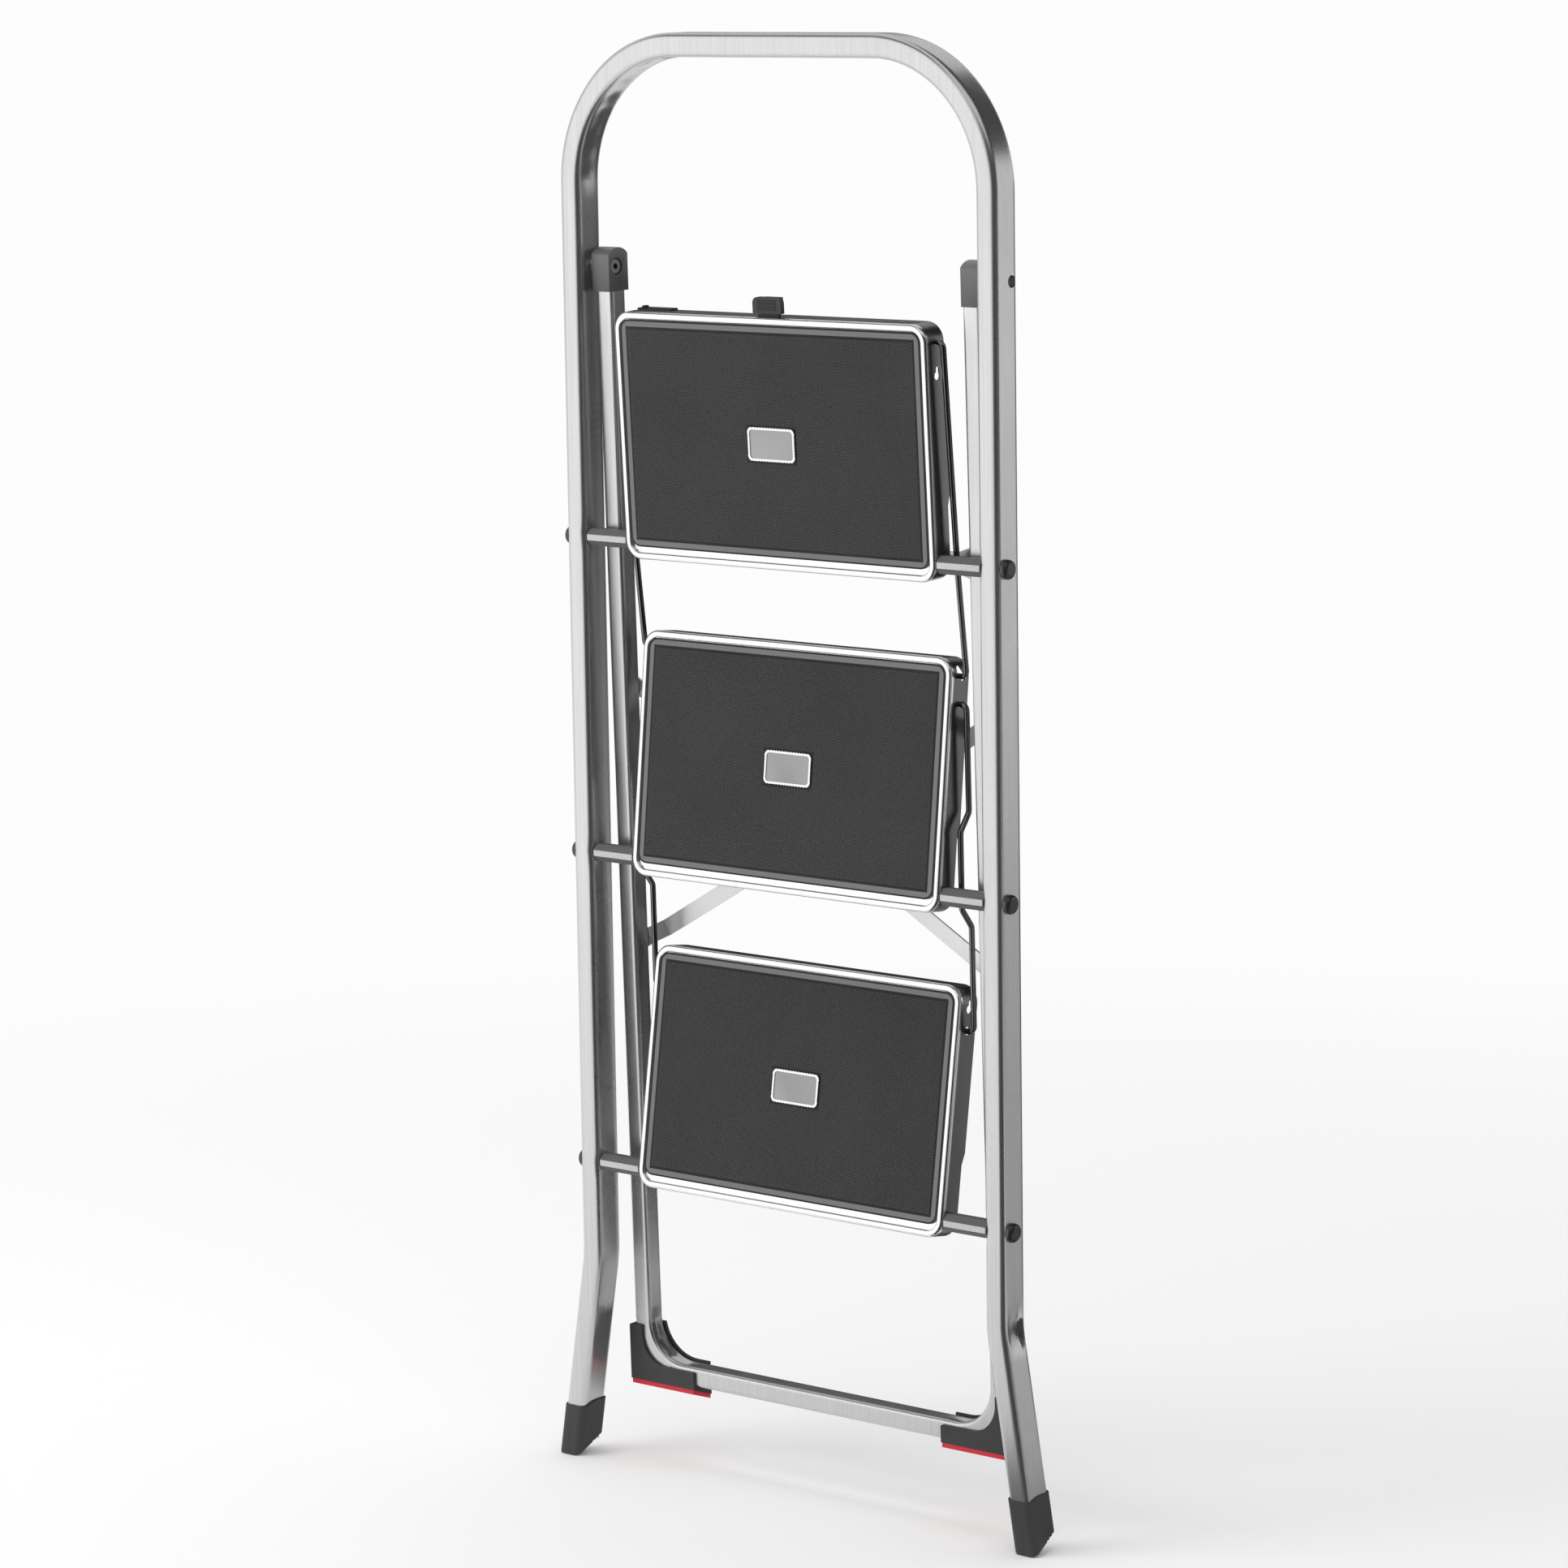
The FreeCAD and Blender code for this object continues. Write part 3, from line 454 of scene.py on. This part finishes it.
# ------------------------------------------------------------ axles, spacers and caps
# Plain steel rods through both legs, black octagonal sleeves that keep the steps in
# the middle, and glossy black domes pushed on the rod ends. A thin paler grey plate on
# each sleeve's front flat is a painted highlight, the sheen of the front lamp on it.
pin_steel = finish("pin_steel", (0.62, 0.62, 0.62), (0.50, 0.50, 0.50), (0.8, 0.8, 0.8),
                   1.0, (0.22, 0.34), 1800.0, 90.0, 0.1, 0.00003, "Streaks", 0.6)
sleeve_black = finish("sleeve_black", (0.012, 0.012, 0.013), (0.022, 0.022, 0.023),
                      (0.12, 0.12, 0.12), 0.0, (0.3, 0.42), 1300.0, 60.0, 0.3, 0.00008,
                      "Grain", 0.5, 0.15)
# Painted highlight: the paler grey for the sleeves' front flats, where the front lamp shines on
# them.
sleeve_sheen_paint = finish("sleeve_painted_sheen", (0.24, 0.24, 0.242), (0.52, 0.52, 0.525),
                     (0.60, 0.60, 0.60), 0.0, (0.34, 0.5), 1400.0, 60.0, 0.6, 0.00012,
                     "Grain", 0.3)
cap_black = finish("cap_black", (0.012, 0.012, 0.013), (0.022, 0.022, 0.023),
                   (0.08, 0.08, 0.08), 0.0, (0.16, 0.26), 1100.0, 60.0, 0.08, 0.00005,
                   "Mottle", 0.6)
for level in axles:
    wear(nodes["axle_" + level], pin_steel)
    for side in ("left", "right"):
        wear(nodes["spacer_" + level + "_" + side], sleeve_black)
wear(nodes["axle_caps"], cap_black)
axle_y = -0.0144
flat_length, flat_thick, flat_height = 0.0392, 0.0005, 0.0046
flat_x = 0.1705
flat_y = axle_y - 0.0070


def rounded_bar(size, place, rounding):
    """A small bar with its edges rounded."""
    bpy.ops.object.select_all(action="DESELECT")
    bpy.ops.mesh.primitive_cube_add(size=1)
    bar = bpy.context.object
    bar.scale = size
    bar.location = place
    bpy.ops.object.transform_apply(location=True, rotation=True, scale=True)
    bpy.ops.object.mode_set(mode="EDIT")
    bpy.ops.mesh.select_all(action="SELECT")
    bpy.ops.mesh.bevel(offset=rounding, segments=2)
    bpy.ops.object.mode_set(mode="OBJECT")
    return bar


# The paler plates on the sleeves' front flats are a painted highlight.
flat_size = (flat_length, flat_thick, flat_height)
flats = [rounded_bar(flat_size, (side * flat_x, flat_y, height), 0.0002)
         for height, lean in axles.values() for side in (-1, 1)]
for flat in flats:
    flat.select_set(True)
bpy.context.view_layer.objects.active = flats[0]
bpy.ops.object.join()
spacer_sheen_flats = bpy.context.object
spacer_sheen_flats.name = "spacer_sheen_flats"
wear(spacer_sheen_flats, sleeve_sheen_paint)
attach(spacer_sheen_flats, "front")

# ----------------------------------------------------------------------- rear frame
# A U of lighter tube in the same paint, with plastic pivot brackets in its open ends,
# a crossbar and an X brace riveted to its back, and red-soled shoes on its corners.
rear_y = 0.0006
rear_across, rear_deep, rear_corner = 0.0155, 0.0170, 0.0026
rear_low = -0.87625
rear_bend_x, rear_bend_z = 0.13575, -0.83525
rear_lower, rear_upper = 0.04, 0.77625
rear_press, rear_reach = 0.0017, 0.0070
rear_lean = 1.49

# The tube is drawn upright with its pivots at the origin, then leaned and lifted to them.
rear_tube = tube_end("rear_tube", rear_across, rear_deep, rear_corner,
                     (0, rear_y, rear_low), (0, math.pi / 2, 0))
draw_out(14, (rear_bend_x, 0, 0))
bpy.ops.mesh.spin(steps=24, angle=math.pi / 2, center=(rear_bend_x, rear_y, rear_bend_z),
                  axis=(0, 1, 0))
draw_out(8, (0, 0, rear_lower))
draw_out(24, (0, 0, rear_upper))
bpy.ops.object.mode_set(mode="OBJECT")
rear_inner_radius = rear_bend_z - rear_low - rear_across / 2
for step in range(9):
    angle = math.radians(5 + 80 * step / 8)
    outward = Vector((math.sin(angle), 0, -math.cos(angle)))
    spot = Vector((rear_bend_x, rear_y, rear_bend_z)) + outward * rear_inner_radius
    press(rear_tube, spot, outward * rear_press, rear_reach)
close_tube(rear_tube)
rear_tube.rotation_euler = (math.radians(rear_lean), 0, 0)
rear_tube.location = pivot
bpy.ops.object.transform_apply(location=True, rotation=True, scale=True)
wear(rear_tube, satin_silver)
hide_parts("rear_bar", "rear_bend_left", "rear_bend_right",
            "rear_leg_left", "rear_leg_right")
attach(rear_tube, "rear")
wear(nodes["rear_crossbar"], satin_silver)
strap_steel = finish("strap_steel", (0.66, 0.66, 0.65), (0.56, 0.56, 0.55), (0.8, 0.8, 0.8),
                     0.85, (0.34, 0.46), 1500.0, 50.0, 0.15, 0.00005, "Streaks", 0.7)
for name in ("brace_front", "brace_back"):
    wear(nodes[name], strap_steel)
for name in ("pivot_washers", "pivot_rivets", "crossbar_rivets", "brace_rivets"):
    wear(nodes[name], pin_steel)
red_rubber = finish("red_rubber", (0.46, 0.004, 0.020), (0.38, 0.003, 0.016), (0.60, 0.03, 0.05),
                    0.0, (0.45, 0.6), 1300.0, 60.0, 0.25, 0.00008, "Mottle", 0.6, 0.25)
bracket_plastic = finish("bracket_plastic", (0.035, 0.035, 0.036), (0.060, 0.060, 0.061),
                         (0.12, 0.12, 0.12), 0.0, (0.26, 0.34), 1400.0, 45.0, 0.30, 0.00008,
                         "Streaks", 0.6, 0.6)
for side in ("left", "right"):
    wear(nodes["bracket_" + side], bracket_plastic)
    wear(nodes["rear_foot_" + side], charcoal)
    wear(nodes["rear_sole_" + side], red_rubber)

# ------------------------------------------------------------------------ step pans
# Each step is a pressed steel pan with a bright rolled rim round a rubber mat, and
# keyholed side flanges that hang on the axle and the link wires.
# Between these two depths the polished rim gives way to the duller flange,
# whose darker grey is a painted reflection of the dark surroundings it faces.
rim_back, flange_front = -0.0050, -0.0036
flange_painted_shade = (0.20, 0.20, 0.205, 1)
flange_dulling = 0.12


def pan_finish(level):
    """Polished along the rim and duller down the flanges, which are painted darker as a painted
    reflection.
    """
    height, lean = axles[level]
    metal = finish("pan_metal_" + level, (0.88, 0.88, 0.88), (0.78, 0.78, 0.78),
                   (0.95, 0.95, 0.95), 0.97, (0.13, 0.22), 2200.0, 60.0, 0.06, 0.00003,
                   "Streaks", 0.7)
    tree = metal.node_tree.nodes
    link = metal.node_tree.links.new
    place = tree.new("ShaderNodeTexCoord")
    upright = tree.new("ShaderNodeMapping")
    upright.vector_type = "TEXTURE"
    upright.inputs["Location"].default_value = (0, axle_y, height)
    upright.inputs["Rotation"].default_value = (math.radians(-lean), 0, 0)
    link(place.outputs["Object"], upright.inputs["Vector"])
    split = tree.new("ShaderNodeSeparateXYZ")
    link(upright.outputs["Vector"], split.inputs["Vector"])
    down = tree.new("ShaderNodeMapRange")
    down.inputs["From Min"].default_value = rim_back
    down.inputs["From Max"].default_value = flange_front
    link(split.outputs["Y"], down.inputs["Value"])
    # Painted reflection: the flanges turn to the darker grey.
    flange = tree.new("ShaderNodeMix")
    flange.data_type = "RGBA"
    flange.inputs["B"].default_value = flange_painted_shade
    link(down.outputs["Result"], flange.inputs["Factor"])
    link(tree["edge"].outputs["Result"], flange.inputs["A"])
    link(flange.outputs["Result"], tree["Principled BSDF"].inputs["Base Color"])
    dull = tree.new("ShaderNodeMath")
    dull.operation = "MULTIPLY_ADD"
    dull.inputs[1].default_value = flange_dulling
    link(down.outputs["Result"], dull.inputs[0])
    link(tree["gloss"].outputs["Result"], dull.inputs[2])
    link(dull.outputs["Value"], tree["Principled BSDF"].inputs["Roughness"])
    return metal


for level in axles:
    wear(nodes["step_" + level], pan_finish(level))

# ---------------------------------------------------------------------------- mats
# Grey studded rubber sheets glued into the pans: a flat border and a groove round
# staggered rows of small diamond studs, moulded in one with the sheet.
mat_rubber = finish("mat_rubber", (0.085, 0.085, 0.088), (0.115, 0.115, 0.118), (0.16, 0.16, 0.16),
                    0.0, (0.40, 0.55), 1200.0, 60.0, 0.3, 0.00008, "Mottle", 0.6)
stud_rubber = finish("stud_rubber", (0.075, 0.075, 0.077), (0.11, 0.11, 0.112), (0.13, 0.13, 0.13),
                     0.0, (0.30, 0.42), 1200.0, 60.0, 0.15, 0.00005, "Mottle", 0.6)
# Painted shade: a near black finish for the sheet between the studs and for the groove round them.
stud_gap_shade = finish("mat_painted_shade", (0.004, 0.004, 0.004), (0.008, 0.008, 0.008),
                       (0.01, 0.01, 0.01), 0.0, (0.55, 0.7), 1200.0, 60.0, 0.15, 0.00005,
                       "Mottle", 0.6)
mat_face = -0.0074
mat_width, mat_corner = 0.2882, 0.008
mat_low, mat_high = -0.0035, 0.1716
mat_middle, mat_height = (mat_low + mat_high) / 2, mat_high - mat_low
mat_border, groove_width = 0.0062, 0.0013
ground_lift, groove_lift = 0.00004, 0.00008
ground_margin = 0.85 * mat_border
stud_pitch, stud_half, stud_taper = 0.00215, 0.00068, 0.45
stud_height, stud_root = 0.0006, 0.00005
columns = int((mat_width - 2 * mat_border) / stud_pitch)
rows = int((mat_height - 2 * mat_border) / stud_pitch)
# The badge sits at this height in each mat, and the studs leave it a clear patch.
badge_high = 0.082
clear_half_width, clear_half_height = 0.0240, 0.0142


def settle(piece, level):
    """Leans a piece drawn upright about the axle and lifts it to its level."""
    height, lean = axles[level]
    bpy.ops.object.select_all(action="DESELECT")
    piece.select_set(True)
    bpy.context.view_layer.objects.active = piece
    piece.rotation_euler = (math.radians(-lean), 0, 0)
    piece.location = (0, axle_y, height)
    bpy.ops.object.transform_apply(location=True, rotation=True, scale=True)


def repeat(piece, count, step):
    """Repeats a piece in a row and makes the row one mesh."""
    row = piece.modifiers.new("row", "ARRAY")
    row.count = count
    row.use_relative_offset = False
    row.use_constant_offset = True
    row.constant_offset_displace = step
    bpy.ops.object.modifier_apply(modifier=row.name)


def stud_field(name, across, up, start_x, start_z):
    """Rows of small blunt diamonds on the mat's face, open at the back."""
    bpy.ops.object.select_all(action="DESELECT")
    stud_y = mat_face - stud_height / 2 + stud_root
    bpy.ops.mesh.primitive_cone_add(vertices=4, radius1=stud_half, radius2=stud_half * stud_taper,
                                    depth=stud_height, end_fill_type="NGON",
                                    rotation=(math.pi / 2, 0, 0),
                                    location=(start_x, stud_y, start_z))
    field = bpy.context.object
    field.name = name
    bpy.ops.object.transform_apply(location=True, rotation=True, scale=True)
    bpy.ops.object.mode_set(mode="EDIT")
    bpy.ops.mesh.select_all(action="DESELECT")
    bpy.ops.object.mode_set(mode="OBJECT")
    for face in field.data.polygons:
        face.select = face.normal.y > 0.9
    bpy.ops.object.mode_set(mode="EDIT")
    bpy.ops.mesh.delete(type="FACE")
    bpy.ops.object.mode_set(mode="OBJECT")
    repeat(field, across, (stud_pitch, 0, 0))
    repeat(field, up, (0, 0, stud_pitch))
    return field


def front_plane(name, width, height, y, z):
    """A flat sheet that faces the front, drawn upright at the axle."""
    bpy.ops.object.select_all(action="DESELECT")
    bpy.ops.mesh.primitive_plane_add(size=1, rotation=(math.pi / 2, 0, 0), location=(0, y, z))
    plane = bpy.context.object
    plane.name = name
    plane.scale = (width, height, 1)
    bpy.ops.object.transform_apply(location=True, rotation=True, scale=True)
    return plane


def fix_to_step(piece, level, material):
    """Leans a finished piece with its step, gives it its finish and lets it ride there."""
    settle(piece, level)
    wear(piece, material)
    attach(piece, level + "_step")


for level in axles:
    first_x = -(columns - 1) * stud_pitch / 2
    first_z = mat_middle - (rows - 1) * stud_pitch / 2
    field = stud_field("mat_studs_" + level, columns, rows, first_x, first_z)
    between = stud_field("studs_between", columns - 1, rows - 1, first_x + stud_pitch / 2,
                         first_z + stud_pitch / 2)
    # A near black sheet under the studs and a near black groove ring round them are painted shade.
    ground = front_plane("mat_painted_shade_" + level, mat_width - 2 * ground_margin,
                         mat_height - 2 * ground_margin, mat_face - ground_lift, mat_middle)
    fix_to_step(ground, level, stud_gap_shade)
    groove = front_plane("mat_groove_" + level, mat_width, mat_height, mat_face - groove_lift,
                         mat_middle)
    bpy.ops.object.mode_set(mode="EDIT")
    bpy.ops.mesh.select_all(action="SELECT")
    bpy.ops.mesh.bevel(offset=mat_corner, segments=8, affect="VERTICES")
    bpy.ops.mesh.inset(thickness=groove_width)
    bpy.ops.mesh.delete(type="FACE")
    bpy.ops.object.mode_set(mode="OBJECT")
    fix_to_step(groove, level, stud_gap_shade)
    bpy.ops.object.select_all(action="DESELECT")
    between.select_set(True)
    field.select_set(True)
    bpy.context.view_layer.objects.active = field
    bpy.ops.object.join()
    for point in field.data.vertices:
        point.select = (abs(point.co.x) < clear_half_width
                        and abs(point.co.z - badge_high) < clear_half_height)
    bpy.ops.object.mode_set(mode="EDIT")
    bpy.ops.mesh.select_mode(type="VERT")
    bpy.ops.mesh.delete(type="VERT")
    bpy.ops.object.mode_set(mode="OBJECT")
    fix_to_step(field, level, stud_rubber)
    wear(nodes["mat_" + level], mat_rubber)

# --------------------------------------------------------------------------- badges
# A plain silver plate let into the middle of each mat, held by a brighter ring round
# its edge whose outline is finely scalloped.
badge_trim_width, badge_trim_height = 0.0454, 0.0259
badge_trim_y, badge_trim_corner = -0.0079, 0.0046
badge_ring, badge_trim_thick = 0.0020, 0.0006
badge_side = 0.008
rim_half_width, rim_half_height = 0.0226, 0.01285
scallop_x, scallop_z = 0.975, 0.955
badge_silver = finish("badge_silver", (0.17, 0.17, 0.17), (0.25, 0.25, 0.25), (0.4, 0.4, 0.4),
                      0.85, (0.34, 0.46), 1600.0, 60.0, 0.1, 0.00004, "Mottle", 0.6)
badge_edge = finish("badge_edge", (0.70, 0.70, 0.70), (0.60, 0.60, 0.60), (0.8, 0.8, 0.8),
                    0.9, (0.2, 0.3), 1600.0, 60.0, 0.1, 0.00004, "Mottle", 0.6)
for level in axles:
    wear(nodes["badge_" + level], badge_silver)
    trim = front_plane("badge_trim_" + level, badge_trim_width, badge_trim_height,
                       badge_trim_y, badge_high)
    bpy.ops.object.mode_set(mode="EDIT")
    bpy.ops.mesh.select_all(action="SELECT")
    bpy.ops.mesh.bevel(offset=badge_trim_corner, segments=5, affect="VERTICES")
    bpy.ops.mesh.select_all(action="DESELECT")
    bpy.ops.object.mode_set(mode="OBJECT")
    for line in trim.data.edges:
        ends = [trim.data.vertices[index].co for index in line.vertices]
        line.select = (ends[0] - ends[1]).length > badge_side
    bpy.ops.object.mode_set(mode="EDIT")
    bpy.ops.mesh.select_mode(type="EDGE")
    bpy.ops.mesh.subdivide(number_cuts=25)
    bpy.ops.mesh.select_mode(type="FACE")
    bpy.ops.mesh.select_all(action="SELECT")
    bpy.ops.mesh.inset(thickness=badge_ring)
    bpy.ops.mesh.delete(type="FACE")
    bpy.ops.mesh.select_all(action="SELECT")
    bpy.ops.mesh.extrude_region_move(TRANSFORM_OT_translate={"value": (0, -badge_trim_thick, 0)})
    bpy.ops.mesh.select_all(action="SELECT")
    bpy.ops.mesh.normals_make_consistent(inside=False)
    bpy.ops.object.mode_set(mode="OBJECT")
    rim = [point for point in trim.data.vertices
           if abs(point.co.x) > rim_half_width
           or abs(point.co.z - badge_high) > rim_half_height]
    rim.sort(key=lambda point: (math.atan2(point.co.z - badge_high, point.co.x), point.co.y))
    for order, point in enumerate(rim):
        if (order // 2) % 2:
            point.co.x *= scallop_x
            point.co.z = badge_high + (point.co.z - badge_high) * scallop_z
    fix_to_step(trim, level, badge_edge)

# ----------------------------------------------------------------------- link wires
# Four lengths of round spring wire, darkly chromed and bent to shape. Each is hooked
# into the flange of one pan and the next, so the three steps fold together.
dark_chrome = finish("dark_chrome", (0.15, 0.15, 0.153), (0.22, 0.22, 0.225), (0.6, 0.6, 0.6),
                     1.0, (0.12, 0.2), 1500.0, 80.0, 0.06, 0.00003, "Streaks", 0.6)
for name in ("wire_top_left", "wire_top_right", "wire_low_left", "wire_low_right"):
    wear(nodes[name], dark_chrome)

# ------------------------------------------------------------------ latch and strip
# A charcoal press tab on the top step, its guide box and spring, and a small black
# rubber strip that stops the folded stool from rattling.
for name in ("latch_button", "latch_guide"):
    wear(nodes[name], charcoal)
wear(nodes["latch_spring"], pin_steel)
rib_size, rib_place, rib_pitch = (0.018, 0.0008, 0.0011), (0, -0.0061, 0.1834), 0.0022
ribs = rounded_bar(rib_size, rib_place, 0.0003)
ribs.name = "latch_ribs"
repeat(ribs, 4, (0, 0, rib_pitch))
settle(ribs, "top")
wear(ribs, charcoal)
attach(ribs, "button")
black_rubber = finish("black_rubber", (0.008, 0.008, 0.008), (0.014, 0.014, 0.014),
                      (0.04, 0.04, 0.04), 0.0, (0.5, 0.65), 1300.0, 60.0, 0.3, 0.00008,
                      "Mottle", 0.6)
wear(nodes["edge_strip"], black_rubber)
